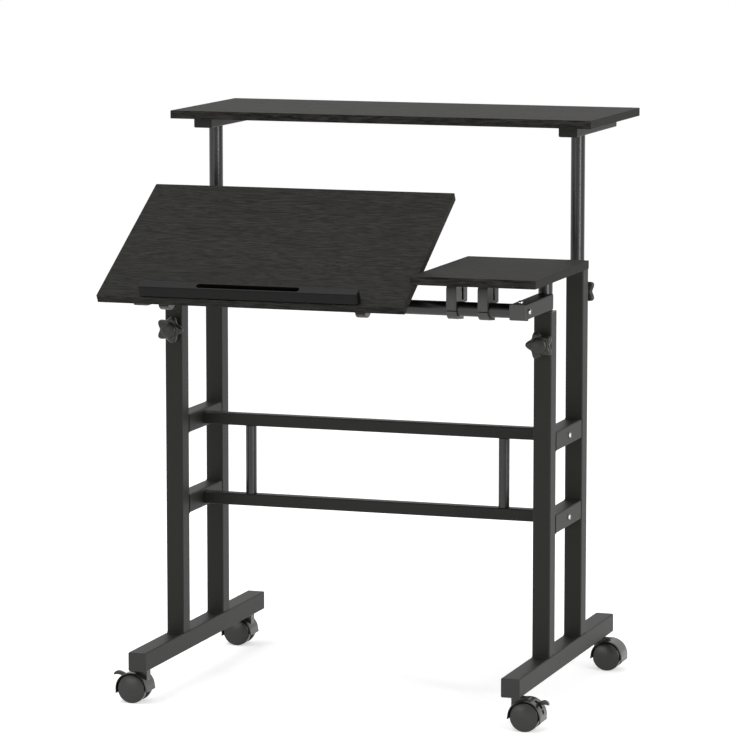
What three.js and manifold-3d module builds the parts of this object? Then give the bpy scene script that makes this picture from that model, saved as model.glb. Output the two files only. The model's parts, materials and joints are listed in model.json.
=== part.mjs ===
// A rolling sit-stand desk: two side frames on castors carry a front table and a rear shelf.
// The front table slides in the front legs and its larger board tilts on a cross tube.
// The shelf slides in the rear legs. Millimetres, X to the right, Y to the back, Z up.
// The floor is Z 0 and the origin is under the middle of the whole desk.

import * as THREE from 'three';
import { mergeVertices } from 'three/addons/utils/BufferGeometryUtils.js';
import Module from 'manifold-3d';

const wasm = await Module();
wasm.setup();

// Boards
const boardThickness = 15;
const boardDepth = 340;
const shelfWidth = 800;
const sideBoardWidth = 226;
const boardGap = 4;
const boardEdgeBreak = 0.8;
const tiltAngle = THREE.MathUtils.degToRad(30.4);
const boardOverhang = 86.5;
const shelfClearance = 5;

// Side frames
const legInset = 51.5;
const legPitch = 207;
const legWidth = 32.5;
const legDepth = 35;
const frontLegLength = 620;
const rearLegLength = 685;
const footLength = 620;
const footWidth = 34.5;
const footHeight = 34.5;
const footWall = 1.8;
const footCapThickness = 2.5;
const footCapPlug = 12;
const tubeWall = 1.5;
const cornerRadius = 2.5;
const railWidth = 32;
const railHeight = 34;
const lowerRailHeight = 333;
const upperRailHeight = 482;

// Cross frame between the sides
const crossbarSize = 22;
const crossbarCorner = 2;
const endPlateThickness = 3;
const strutDiameter = 20;
const strutSpacing = 486;

// Sliding posts and their guides
const postDiameter = 25.4;
const postWall = 1.5;
const postCapThickness = 2;
const frontPostInsert = 590;
const rearPostInsert = 470;
const bushFlange = 1.5;
const bushDepth = 26;

// Front table
const armWidth = 29;
const armHeight = 28;
const armWall = 1.6;
const armReach = 175;
const armLift = 3;
const tubeReach = 153;
const boardRise = 49;
const ledgeLength = 407;
const ledgeDepth = 20;
const ledgeHeight = 22;
const ledgeSetback = 1;
const ledgeCorner = 7;
const ledgeEdgeBreak = 1.2;
const slotLength = 190;
const slotWidth = 11;

// Board clamps, drawn round the tube's axis
const clampWidth = 18.5;
const sideClampWall = 5.2;
const tiltClampWall = 9.5;
const clampSlit = 1.2;
const clampSlitDrop = 2.2;
const clampFrontRise = 37;
const clampSlope = 9;
const clampBlockBack = 16;
const clampNotchWidth = 10;
const clampHeelDepth = 23;
const clampHeelBottom = 8;
const clampFlange = 6.5;
const clampTailReach = 28;
const clampTailDrop = 21;
const clampTailThickness = 5.5;
const clampEdgeBreak = 0.6;
const sideClampInset = 53.5;
const sideClampSpacing = 57;
const tiltClampOuterInset = 92;
const tiltClampInnerInset = 109.5;

// Rear shelf
const shelfRise = 231;
const shelfArmWidth = 34.5;
const shelfArmHeight = 18;
const shelfArmLength = 270;
const shelfArmInset = 33;
const shelfScrewHole = 6;
const shelfScrewInset = 30;

// Clamping knobs
const knobRadius = 26;
const knobValley = 17.6;
const knobThickness = 13;
const knobEdgeBreak = 2;
const knobNeckRadius = 9.5;
const knobNeckLength = 13;
const knobCapRadius = 13.5;
const knobCapRise = 3.5;
const knobCapShoulderShare = 0.85;
const knobDrop = 57;
const studDiameter = 8;

// Bolts
const boltDiameter = 6;
const boltHeadDiameter = 12;
const boltHeadHeight = 3.5;
const boltSocket = 4;
const boltSocketDepth = 2;
const boltGrip = 9;

// Castors, drawn round the swivel axis and trailing towards +X
const castorHeight = 63.5;
const castorInset = 38;
const castorTrail = 19.5;
const wheelDiameter = 53;
const wheelWidth = 15;
const wheelEdge = 3;
const wheelDome = 1.6;
const wheelSpread = 16;
const wheelDomeShares = [0.5, 0.75];
const axleDiameter = 8;
const fenderGap = 2;
const fenderWall = 2.6;
const fenderInset = 0.5;
const fenderFront = THREE.MathUtils.degToRad(-17);
const fenderBack = THREE.MathUtils.degToRad(188);
const webClearance = 0.6;
const stemDiameter = 10;
const stemBossDiameter = 14;
const stemLength = 22;
const stemGap = 0.5;

// Brake levers, drawn round the axle
const leverWidth = 10;
const leverThickness = 4;
const leverPivotX = 14;
const leverPivotZ = 20.5;
const leverBoss = 4.5;
const leverReach = 26;
const leverTipRise = 4;
const leverBendShares = [0.55, 0.6];
const leverTipShare = 0.4;
const leverPin = 3;
const leverPocketFloor = 13.5;
const leverPocketStart = 7;
const leverPocketTop = 26.5;

// Fits and drawing
const seatGap = 0.3;
const boltClearance = 0.4;
const overrun = 2;
const weldTolerance = 0.0005;
const roundSegments = 24;
const smallSegments = 12;
const cornerSegments = 2;
const capSegments = 4;
const knobLobes = 5;
const lobeSegments = 8;
const bevelSteps = 1;
const quarterTurn = Math.PI / 2;

// Places worked out from the sizes above
const footTop = castorHeight + footHeight;
const legX = shelfWidth / 2 - legInset;
const legY = legPitch / 2;
const frontLegTop = footTop + frontLegLength;
const rearLegTop = footTop + rearLegLength;
const tiltBoardWidth = shelfWidth - sideBoardWidth - boardGap;
const tiltBoardX = -shelfWidth / 2 + tiltBoardWidth / 2;
const sideBoardX = shelfWidth / 2 - sideBoardWidth / 2;
const armZ = frontLegTop + armLift + armHeight / 2;
const tubeY = -legY - tubeReach;
const boardUnder = armZ + boardRise;
const boardsBackY = tubeY - boardOverhang + boardDepth;
const shelfFrontY = boardsBackY + shelfClearance;
const shelfArmZ = rearLegTop + shelfRise;
const shelfUnder = shelfArmZ + shelfArmHeight;
const castorY = footLength / 2 - castorInset;
const wheelRadius = wheelDiameter / 2;
const postRadius = postDiameter / 2;

// The desk reaches furthest forward at the tilted ledge's top front edge
const ledgeTop = boardRise + boardThickness + seatGap + ledgeHeight;
const ledgeFrontLocal = -boardOverhang + ledgeSetback;
const ledgeFrontY = tubeY + ledgeFrontLocal * Math.cos(tiltAngle) - ledgeTop * Math.sin(tiltAngle);
const middleY = (ledgeFrontY + shelfFrontY + boardDepth) / 2;

// What repeats: the two sides, the legs of a side and the heights of its rails
const sides = [['left', -1], ['right', 1]];
const legs = [['front', -1, frontLegLength], ['rear', 1, rearLegLength]];
const railLevels = [['lower', lowerRailHeight], ['upper', upperRailHeight]];

// Finishes
const laminate = { color: 0x2e2e2c, roughness: 0.55, metalness: 0 };
const paintedSteel = { color: 0x2b2b2a, roughness: 0.45, metalness: 0.2 };
const mouldedPlastic = { color: 0x262626, roughness: 0.5, metalness: 0 };
const glossPlastic = { color: 0x303031, roughness: 0.3, metalness: 0 };
const chrome = { color: 0xd8d8d8, roughness: 0.12, metalness: 1 };

// Turns a closed geometry into a solid that can be joined and cut
function toSolid(geometry) {
  geometry.deleteAttribute('normal');
  geometry.deleteAttribute('uv');
  const merged = mergeVertices(geometry, weldTolerance);
  const mesh = new wasm.Mesh({
    numProp: 3,
    vertProperties: new Float32Array(merged.attributes.position.array),
    triVerts: new Uint32Array(merged.index.array),
  });
  return new wasm.Manifold(mesh);
}

// Makes a named mesh of a solid, with a material of its own
function piece(name, solid, finish) {
  const { vertProperties, triVerts } = solid.getMesh();
  const geometry = new THREE.BufferGeometry();
  geometry.setAttribute('position', new THREE.BufferAttribute(new Float32Array(vertProperties), 3));
  geometry.setIndex(new THREE.BufferAttribute(new Uint32Array(triVerts), 1));
  geometry.computeVertexNormals();
  const mesh = new THREE.Mesh(geometry, new THREE.MeshStandardMaterial({ ...finish, flatShading: true }));
  mesh.name = name;
  return mesh;
}

// Adds a mesh to a group at a place and returns it
function place(group, mesh, x, y, z) {
  mesh.position.set(x, y, z);
  group.add(mesh);
  return mesh;
}

// A rectangle round the origin with rounded corners
function roundedRectangle(width, height, radius) {
  const shape = new THREE.Shape();
  const right = width / 2;
  const top = height / 2;
  shape.moveTo(-right + radius, -top);
  shape.lineTo(right - radius, -top);
  shape.absarc(right - radius, -top + radius, radius, -quarterTurn, 0);
  shape.lineTo(right, top - radius);
  shape.absarc(right - radius, top - radius, radius, 0, quarterTurn);
  shape.lineTo(-right + radius, top);
  shape.absarc(-right + radius, top - radius, radius, quarterTurn, 2 * quarterTurn);
  shape.lineTo(-right, -top + radius);
  shape.absarc(-right + radius, -top + radius, radius, 2 * quarterTurn, 3 * quarterTurn);
  return shape;
}

// A closed outline through a list of points
function outline(points) {
  return new THREE.Shape(points.map(([x, y]) => new THREE.Vector2(x, y)));
}

// Draws an outline out along +Z from 0, with its end edges broken by a small chamfer
function prism(shape, length, edgeBreak = 0, segments = cornerSegments) {
  const geometry = new THREE.ExtrudeGeometry(shape, {
    depth: length - 2 * edgeBreak,
    bevelEnabled: edgeBreak > 0,
    bevelThickness: edgeBreak,
    bevelSize: edgeBreak,
    bevelOffset: -edgeBreak,
    bevelSegments: bevelSteps,
    curveSegments: segments,
  });
  return geometry.translate(0, 0, edgeBreak);
}

// Lays a prism's length along X, centred on the origin
function alongX(geometry, length) {
  return geometry.translate(0, 0, -length / 2).rotateY(quarterTurn);
}

// Lays a prism's length along Y, centred on the origin
function alongY(geometry, length) {
  return geometry.translate(0, 0, -length / 2).rotateX(quarterTurn);
}

// Stands an outline drawn in Y and Z across X, centred on the origin
function acrossX(geometry, width) {
  const axes = new THREE.Matrix4().makeBasis(
    new THREE.Vector3(0, 1, 0),
    new THREE.Vector3(0, 0, 1),
    new THREE.Vector3(1, 0, 0),
  );
  return geometry.translate(0, 0, -width / 2).applyMatrix4(axes);
}

// A round bar along Z from bottom to top
function rod(diameter, bottom, top, segments = roundSegments) {
  const geometry = new THREE.CylinderGeometry(diameter / 2, diameter / 2, top - bottom, segments);
  return toSolid(geometry.rotateX(quarterTurn).translate(0, 0, (top + bottom) / 2));
}

// A cutter along Z whose flats clear a round of the given diameter
function borer(diameter, bottom, top, segments = roundSegments) {
  return rod(diameter / Math.cos(Math.PI / segments), bottom, top, segments);
}

// A block between two corners
function block(low, high) {
  const size = high.map((value, axis) => value - low[axis]);
  const middle = high.map((value, axis) => (value + low[axis]) / 2);
  return toSolid(new THREE.BoxGeometry(...size).translate(...middle));
}

// A rectangular tube along Z from 0 to length, open at both ends
function rectangularTube(width, depth, length, wall, radius) {
  const outer = toSolid(prism(roundedRectangle(width, depth, radius), length));
  const bore = roundedRectangle(width - 2 * wall, depth - 2 * wall, radius - wall / 2);
  const inner = toSolid(prism(bore, length + 2 * overrun).translate(0, 0, -overrun));
  return outer.subtract(inner);
}

// A round tube along Z from 0 to length, open at both ends
function roundTube(diameter, length, wall) {
  return rod(diameter, 0, length).subtract(borer(diameter - 2 * wall, -overrun, length + overrun));
}

// A cut across X through a piece, for a bolt of the given diameter
function boltHole(diameter, y, z, halfWidth) {
  const reach = halfWidth + overrun;
  const hole = borer(diameter + 2 * boltClearance, -reach, reach, smallSegments);
  return hole.rotate([0, 90, 0]).translate([0, y, z]);
}

// Foot of one side: a hollow beam along Y with a hole near each end for a castor stem
function foot() {
  const length = footLength - 2 * (footCapThickness + seatGap);
  const tube = rectangularTube(footWidth, footHeight, length, footWall, cornerRadius);
  let beam = tube.translate([0, 0, -length / 2]).rotate([90, 0, 0]);
  for (const side of [-1, 1]) {
    const hole = borer(stemDiameter + 2 * seatGap, -footHeight, 0, smallSegments);
    beam = beam.subtract(hole.translate([0, side * castorY, 0]));
  }
  return beam;
}

// Cap that closes a foot's end: a plate outside and a plug inside, facing -Y
function footCap() {
  const plate = prism(roundedRectangle(footWidth, footHeight, cornerRadius), footCapThickness);
  const plugWidth = footWidth - 2 * footWall - 2 * seatGap;
  const plugHeight = footHeight - 2 * footWall - 2 * seatGap;
  const plugLength = footCapPlug + footCapThickness / 2;
  const plug = prism(roundedRectangle(plugWidth, plugHeight, cornerRadius - footWall / 2), plugLength);
  const body = toSolid(plate).add(toSolid(plug.translate(0, 0, footCapThickness / 2)));
  return body.rotate([-90, 0, 0]);
}

// Leg from the foot up, with a hole for the knob's stud in its outer wall; the wall faces -Y
function leg(length) {
  const steel = length - bushFlange - 2 * seatGap;
  const tube = rectangularTube(legWidth, legDepth, steel, tubeWall, cornerRadius);
  const hole = borer(studDiameter + 2 * boltClearance, 0, legDepth, smallSegments).rotate([90, 0, 0]);
  return tube.subtract(hole.translate([0, 0, length - knobDrop - seatGap]));
}

// Guide bush at a leg's top: a flange over the rim and a sleeve inside, bored for the post
function legBush() {
  const flange = toSolid(prism(roundedRectangle(legWidth, legDepth, cornerRadius), bushFlange));
  const sleeveWidth = legWidth - 2 * tubeWall - 2 * seatGap;
  const sleeveDepth = legDepth - 2 * tubeWall - 2 * seatGap;
  const sleeve = prism(roundedRectangle(sleeveWidth, sleeveDepth, cornerRadius - tubeWall / 2), bushDepth);
  const body = flange.add(toSolid(sleeve.translate(0, 0, bushFlange - bushDepth)));
  return body.subtract(borer(postDiameter + 2 * seatGap, -bushDepth - overrun, bushFlange + overrun));
}

// Rail between a side's two legs, bored across for the crossbar bolt
function sideRail() {
  const length = legPitch - legDepth - 2 * seatGap;
  const tube = rectangularTube(railWidth, railHeight, length, tubeWall, cornerRadius);
  const rail = tube.translate([0, 0, -length / 2]).rotate([90, 0, 0]);
  return rail.subtract(boltHole(boltDiameter, 0, 0, railWidth / 2));
}

// Closes a bar that lies along X: hollow inside, with a plate at each end bored for a bolt
function boredBar(outer, innerShape, length, segments = cornerSegments) {
  const hollow = length - 2 * endPlateThickness;
  const inner = toSolid(alongX(prism(innerShape, hollow, 0, segments), hollow));
  return outer.subtract(inner).subtract(boltHole(boltDiameter, 0, 0, length / 2));
}

// Square bar between the two side frames
function crossbar() {
  const length = 2 * legX - railWidth - 2 * seatGap;
  const section = roundedRectangle(crossbarSize, crossbarSize, crossbarCorner);
  const bore = crossbarSize - 2 * tubeWall;
  const outer = toSolid(alongX(prism(section, length), length));
  return boredBar(outer, roundedRectangle(bore, bore, crossbarCorner - tubeWall / 2), length);
}

// Round bar between the two table arms, on which the boards' clamps sit
function tableTube() {
  const length = 2 * legX - armWidth - 2 * seatGap;
  const bore = new THREE.Shape().absarc(0, 0, postRadius - postWall, 0, 2 * Math.PI);
  const outer = rod(postDiameter, -length / 2, length / 2).rotate([0, 90, 0]);
  return boredBar(outer, bore, length, roundSegments);
}

// Bolt along X with its head at +X: the head sits on the face at 0 and the shank runs to -X
function bolt(grip) {
  const headRadius = boltHeadDiameter / 2;
  const shankEnd = grip + boltGrip;
  const profile = new THREE.Path();
  profile.moveTo(0, -shankEnd);
  profile.lineTo(boltDiameter / 2, -shankEnd);
  profile.lineTo(boltDiameter / 2, seatGap);
  profile.lineTo(headRadius, seatGap);
  profile.quadraticCurveTo(headRadius, seatGap + boltHeadHeight, boltSocket, seatGap + boltHeadHeight);
  profile.lineTo(0, seatGap + boltHeadHeight);
  const body = toSolid(new THREE.LatheGeometry(profile.getPoints(cornerSegments), smallSegments));
  const socket = new THREE.CylinderGeometry(boltSocket / 2, boltSocket / 2, 2 * boltSocketDepth, 6);
  const recess = toSolid(socket.translate(0, seatGap + boltHeadHeight, 0));
  return body.subtract(recess).rotate([0, 0, -90]);
}

// Post that slides in a leg: open below and closed by a plate at its top
function post(length) {
  const bore = borer(postDiameter - 2 * postWall, -overrun, length - postCapThickness);
  return rod(postDiameter, 0, length).subtract(bore);
}

// Table arm along Y: a plate closes its front end and its back end is coped round the post
function arm() {
  const length = armReach;
  const outer = toSolid(prism(roundedRectangle(armWidth, armHeight, cornerRadius), length));
  const boreWidth = armWidth - 2 * armWall;
  const boreHeight = armHeight - 2 * armWall;
  const boreShape = roundedRectangle(boreWidth, boreHeight, cornerRadius - armWall / 2);
  const bore = toSolid(prism(boreShape, length).translate(0, 0, armWall));
  const tube = outer.subtract(bore).rotate([-90, 0, 0]).translate([0, -armReach, 0]);
  const coped = tube.subtract(borer(postDiameter + 2 * seatGap, -armHeight, armHeight));
  return coped.subtract(boltHole(boltDiameter, -tubeReach, 0, armWidth / 2));
}

// Clamp of a board on the table tube: a slit ring with a tail below, a notched block up to the board
function boardClamp(wall) {
  const bore = postRadius + seatGap;
  const ring = bore + wall;
  const seam = bore + wall / 2;
  const top = boardRise - seatGap;
  const heel = clampBlockBack + clampNotchWidth;
  const back = heel + clampHeelDepth;
  const floor = clampHeelBottom + clampFlange;
  const shape = new THREE.Shape();
  shape.moveTo(-ring, 0);
  shape.absarc(0, 0, ring, Math.PI, 2 * Math.PI + Math.asin(clampHeelBottom / ring), false);
  shape.lineTo(back, clampHeelBottom);
  shape.lineTo(back, top);
  shape.lineTo(heel, top);
  shape.lineTo(heel, floor);
  shape.lineTo(clampBlockBack, floor);
  shape.lineTo(clampBlockBack, top);
  shape.lineTo(-ring + clampSlope, top);
  shape.lineTo(-ring, clampFrontRise);
  const body = toSolid(acrossX(prism(shape, clampWidth, clampEdgeBreak, smallSegments), clampWidth));
  const tailShape = outline([
    [0, -seam],
    [0, -ring],
    [clampTailReach, -clampTailDrop],
    [clampTailReach, clampTailThickness - clampTailDrop],
    [seam * Math.SQRT1_2, -seam * Math.SQRT1_2],
  ]);
  const tail = toSolid(acrossX(prism(tailShape, clampWidth, clampEdgeBreak), clampWidth));
  const hole = borer(2 * bore, -clampWidth, clampWidth).rotate([0, 90, 0]);
  const slitHalf = clampSlit / 2;
  const slitFront = -ring - overrun;
  const slit = block(
    [-clampWidth, slitFront, -clampSlitDrop - slitHalf],
    [clampWidth, 0, slitHalf - clampSlitDrop],
  );
  return body.add(tail).subtract(hole).subtract(slit);
}

// Board lying flat: centred in X, from its front edge at Y 0, underside at Z 0
function board(width) {
  const right = width / 2;
  const shape = outline([[-right, 0], [right, 0], [right, boardDepth], [-right, boardDepth]]);
  return toSolid(prism(shape, boardThickness, boardEdgeBreak));
}

// Book stop along the tilting board's front edge, with a long slot through it
function ledge() {
  const plan = roundedRectangle(ledgeLength, ledgeDepth, ledgeCorner);
  const body = toSolid(prism(plan, ledgeHeight, ledgeEdgeBreak));
  const slotShape = roundedRectangle(slotLength, slotWidth, slotWidth / 2 - weldTolerance);
  const slot = toSolid(prism(slotShape, ledgeHeight + 2 * overrun).translate(0, 0, -overrun));
  return body.subtract(slot);
}

// Arm under the shelf, along Y from 0: closed at both ends, with holes for the shelf's screws
function shelfArm() {
  const section = roundedRectangle(shelfArmWidth, shelfArmHeight, cornerRadius);
  const outer = toSolid(prism(section, shelfArmLength));
  const boreWidth = shelfArmWidth - 2 * tubeWall;
  const boreHeight = shelfArmHeight - 2 * tubeWall;
  const boreShape = roundedRectangle(boreWidth, boreHeight, cornerRadius - tubeWall / 2);
  const bore = toSolid(prism(boreShape, shelfArmLength - 2 * tubeWall).translate(0, 0, tubeWall));
  let body = outer.subtract(bore).rotate([-90, 0, 0]);
  for (const y of [shelfScrewInset, shelfArmLength - shelfScrewInset]) {
    const hole = borer(shelfScrewHole, -shelfArmHeight, shelfArmHeight, smallSegments);
    body = body.subtract(hole.translate([0, y, 0]));
  }
  return body;
}

// Clamping knob facing -Y, with the leg's outer face at Y 0 and a lobe towards +X
function knob() {
  const mean = (knobRadius + knobValley) / 2;
  const swing = (knobRadius - knobValley) / 2;
  const star = [];
  const steps = knobLobes * lobeSegments;
  for (let step = 0; step < steps; step += 1) {
    const angle = (2 * Math.PI * step) / steps;
    const radius = mean + swing * Math.cos(knobLobes * angle);
    star.push([radius * Math.cos(angle), radius * Math.sin(angle)]);
  }
  const starFace = knobNeckLength + knobThickness;
  const grip = toSolid(prism(outline(star), knobThickness, knobEdgeBreak).translate(0, 0, knobNeckLength));
  const neck = rod(2 * knobNeckRadius, seatGap, knobNeckLength + knobThickness / 2);
  const postFace = legDepth / 2 - postRadius;
  const stud = rod(studDiameter, -postFace + seatGap, knobNeckLength, smallSegments);
  const dome = new THREE.Path();
  dome.moveTo(0, starFace - knobThickness / 2);
  dome.lineTo(knobCapRadius, starFace - knobThickness / 2);
  dome.lineTo(knobCapRadius, starFace);
  const shoulder = knobCapRadius * knobCapShoulderShare;
  dome.quadraticCurveTo(shoulder, starFace + knobCapRise, 0, starFace + knobCapRise);
  const lathe = new THREE.LatheGeometry(dome.getPoints(capSegments), roundSegments);
  const cap = toSolid(lathe.rotateX(quarterTurn));
  return grip.add(neck).add(stud).add(cap).rotate([90, 0, 0]);
}

// Twin wheels joined by their axle, which lies along Y at the origin
function wheelPair() {
  const inner = wheelSpread / 2;
  const outer = inner + wheelWidth;
  const axle = axleDiameter / 2;
  const half = [
    [wheelRadius - wheelEdge, outer],
    [wheelRadius, outer - wheelEdge],
    [wheelRadius, inner + wheelEdge / 2],
    [wheelRadius - wheelEdge / 2, inner],
    [axle, inner],
  ];
  const [domeRadius, domeRise] = wheelDomeShares;
  const crown = [[0, outer + wheelDome], [wheelRadius * domeRadius, outer + wheelDome * domeRise]];
  const upper = [...crown, ...half];
  const lower = [...upper].reverse().map(([radius, y]) => [radius, -y]);
  const points = [...upper, ...lower].map(([x, y]) => new THREE.Vector2(x, y));
  return toSolid(new THREE.LatheGeometry(points.reverse(), roundSegments));
}

// Castor housing round the axle: a fender over both wheels, a web between them and the swivel stem
function castorHousing(braked) {
  const fenderInner = wheelRadius + fenderGap;
  const fenderOuter = fenderInner + fenderWall;
  const fenderWidth = wheelSpread + 2 * wheelWidth - 2 * fenderInset;
  const webWidth = wheelSpread - 2 * webClearance;
  const band = new THREE.Shape();
  band.absarc(0, 0, fenderOuter, fenderFront, fenderBack, false);
  band.absarc(0, 0, fenderInner, fenderBack, fenderFront, true);
  const fender = toSolid(alongY(prism(band, fenderWidth, 0, smallSegments), fenderWidth));
  const half = new THREE.Shape();
  half.absarc(0, 0, fenderInner + fenderWall / 2, fenderFront, fenderBack, false);
  const web = toSolid(alongY(prism(half, webWidth, 0, smallSegments), webWidth));
  const bossTop = castorHeight - stemGap - wheelRadius;
  const boss = rod(stemBossDiameter, 0, bossTop, smallSegments).translate([-castorTrail, 0, 0]);
  const stem = rod(stemDiameter, 0, bossTop + stemLength, smallSegments).translate([-castorTrail, 0, 0]);
  const hub = borer(axleDiameter + 2 * seatGap, -fenderWidth, fenderWidth).rotate([90, 0, 0]);
  let body = fender.add(web).add(boss).add(stem).subtract(hub);
  if (braked) {
    const pocketHalf = leverWidth / 2 + seatGap;
    const low = [leverPocketStart, -pocketHalf, leverPocketFloor];
    const high = [fenderOuter + overrun, pocketHalf, leverPocketTop];
    const pin = rod(leverPin, -webWidth / 2, webWidth / 2, smallSegments).rotate([90, 0, 0]);
    body = body.subtract(block(low, high)).add(pin.translate([leverPivotX, 0, leverPivotZ]));
  }
  return body;
}

// Brake lever round its pin, reaching towards +X
function brakeLever() {
  const side = leverThickness / 2;
  const [upperBend, lowerBend] = leverBendShares;
  const tab = outline([
    [0, -side],
    [leverReach * lowerBend, -side],
    [leverReach, leverTipRise - side],
    [leverReach, leverTipRise + side * leverTipShare],
    [leverReach * upperBend, side],
    [0, side],
  ]);
  const blade = toSolid(alongY(prism(tab, leverWidth, boardEdgeBreak), leverWidth));
  const boss = rod(2 * leverBoss, -leverWidth / 2, leverWidth / 2, smallSegments).rotate([90, 0, 0]);
  const bore = borer(leverPin + 2 * seatGap, -leverWidth, leverWidth, smallSegments).rotate([90, 0, 0]);
  return blade.add(boss).subtract(bore);
}

// The fixed frame: feet, legs, rails, bushes, crossbars and struts
function addFrame(desk) {
  for (const [side, sign] of sides) {
    const x = sign * legX;
    const footZ = castorHeight + footHeight / 2;
    place(desk, piece(`${side}_foot`, foot(), paintedSteel), x, 0, footZ);
    for (const [end, direction, length] of legs) {
      const turn = direction > 0 ? Math.PI : 0;
      const cap = piece(`${side}_${end}_foot_cap`, footCap(), mouldedPlastic);
      place(desk, cap, x, (direction * footLength) / 2, footZ).rotation.z = turn;
      const upright = piece(`${side}_${end}_leg`, leg(length), paintedSteel);
      place(desk, upright, x, direction * legY, footTop + seatGap).rotation.z = turn;
      const bush = piece(`${side}_${end}_leg_bush`, legBush(), mouldedPlastic);
      place(desk, bush, x, direction * legY, footTop + length - bushFlange);
    }
    for (const [level, z] of railLevels) {
      place(desk, piece(`${side}_${level}_rail`, sideRail(), paintedSteel), x, 0, z);
      const head = piece(`${side}_${level}_rail_bolt`, bolt(railWidth), chrome);
      place(desk, head, x + (sign * railWidth) / 2, 0, z).rotation.z = sign > 0 ? 0 : Math.PI;
    }
    const strutLength = upperRailHeight - lowerRailHeight - crossbarSize - 2 * seatGap;
    const strutZ = lowerRailHeight + crossbarSize / 2 + seatGap;
    const strut = piece(`${side}_strut`, roundTube(strutDiameter, strutLength, tubeWall), paintedSteel);
    place(desk, strut, (sign * strutSpacing) / 2, 0, strutZ);
  }
  for (const [level, z] of railLevels) {
    place(desk, piece(`${level}_crossbar`, crossbar(), paintedSteel), 0, 0, z);
  }
}

// The front table: posts, arms, cross tube and the fixed side board
function addFrontTable(desk) {
  const table = new THREE.Group();
  for (const [side, sign] of sides) {
    const x = sign * legX;
    const postBottom = frontLegTop - frontPostInsert;
    const postLength = boardUnder - seatGap - postBottom;
    place(table, piece(`${side}_front_post`, post(postLength), paintedSteel), x, -legY, postBottom);
    place(table, piece(`${side}_table_arm`, arm(), paintedSteel), x, -legY, armZ);
    const head = piece(`${side}_arm_bolt`, bolt(armWidth), chrome);
    place(table, head, x + (sign * armWidth) / 2, tubeY, armZ).rotation.z = sign > 0 ? 0 : Math.PI;
  }
  place(table, piece('table_tube', tableTube(), paintedSteel), 0, tubeY, armZ);
  const side = piece('side_board', board(sideBoardWidth), laminate);
  place(table, side, sideBoardX, tubeY - boardOverhang, boardUnder);
  const inner = sideBoardX - sideBoardWidth / 2 + sideClampInset;
  for (const [where, x] of [['inner', inner], ['outer', inner + sideClampSpacing]]) {
    const clamp = piece(`side_board_${where}_clamp`, boardClamp(sideClampWall), mouldedPlastic);
    place(table, clamp, x, tubeY, armZ);
  }
  desk.add(table);
}

// The tilting board with its clamps and ledge, turned on the cross tube
function addTiltingBoard(desk) {
  const top = new THREE.Group();
  top.position.set(0, tubeY, armZ);
  top.rotation.x = tiltAngle;
  place(top, piece('tilting_board', board(tiltBoardWidth), laminate), tiltBoardX, -boardOverhang, boardRise);
  const outer = tiltBoardX - tiltBoardWidth / 2 + tiltClampOuterInset;
  const inner = tiltBoardX + tiltBoardWidth / 2 - tiltClampInnerInset;
  for (const [side, x] of [['left', outer], ['right', inner]]) {
    const clamp = piece(`tilting_board_${side}_clamp`, boardClamp(tiltClampWall), mouldedPlastic);
    place(top, clamp, x, 0, 0);
  }
  const ledgeY = ledgeFrontLocal + ledgeDepth / 2;
  place(top, piece('ledge', ledge(), laminate), tiltBoardX, ledgeY, boardRise + boardThickness + seatGap);
  desk.add(top);
}

// The rear shelf: posts, arms and board
function addShelf(desk) {
  const shelf = new THREE.Group();
  for (const [side, sign] of sides) {
    const x = sign * legX;
    const postBottom = rearLegTop - rearPostInsert;
    const postLength = shelfArmZ - seatGap - postBottom;
    place(shelf, piece(`${side}_rear_post`, post(postLength), paintedSteel), x, legY, postBottom);
    const armY = shelfFrontY + shelfArmInset;
    const support = piece(`${side}_shelf_arm`, shelfArm(), paintedSteel);
    place(shelf, support, x, armY, shelfArmZ + shelfArmHeight / 2);
  }
  place(shelf, piece('shelf_board', board(shelfWidth), laminate), 0, shelfFrontY, shelfUnder + seatGap);
  desk.add(shelf);
}

// One clamping knob on the outer face of each leg
function addKnobs(desk) {
  for (const [side, sign] of sides) {
    for (const [end, direction, length] of legs) {
      const mount = new THREE.Group();
      mount.position.set(sign * legX, direction * (legY + legDepth / 2), footTop + length - knobDrop);
      mount.rotation.z = direction > 0 ? Math.PI : 0;
      const star = place(mount, piece(`${side}_${end}_knob`, knob(), mouldedPlastic), 0, 0, 0);
      star.rotation.y = sign * direction < 0 ? Math.PI : 0;
      desk.add(mount);
    }
  }
}

// Four castors under the feet; the two front ones have a brake lever
function addCastors(desk) {
  for (const [side, sign] of sides) {
    for (const [end, direction] of legs) {
      const braked = end === 'front';
      const name = `${side}_${end}_castor`;
      const castor = new THREE.Group();
      castor.position.set(sign * legX, direction * castorY, wheelRadius);
      castor.rotation.z = sign > 0 ? 0 : Math.PI;
      place(castor, piece(`${name}_housing`, castorHousing(braked), glossPlastic), castorTrail, 0, 0);
      place(castor, piece(`${name}_wheels`, wheelPair(), glossPlastic), castorTrail, 0, 0);
      if (braked) {
        const lever = piece(`${side}_brake_lever`, brakeLever(), glossPlastic);
        place(castor, lever, castorTrail + leverPivotX, 0, leverPivotZ);
      }
      desk.add(castor);
    }
  }
}

const desk = new THREE.Group();
desk.position.y = -middleY;
addFrame(desk);
addFrontTable(desk);
addTiltingBoard(desk);
addShelf(desk);
addKnobs(desk);
addCastors(desk);

export default desk;
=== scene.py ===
import json
import logging
from dataclasses import dataclass, field, replace
from enum import Enum, StrEnum
from functools import cache
from math import asin, atan2, cos, degrees, hypot, pi, radians, sin, sqrt
from typing import Sequence

import bmesh
import bpy
from mathutils import Matrix, Vector
from mathutils.geometry import intersect_line_sphere_2d


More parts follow.
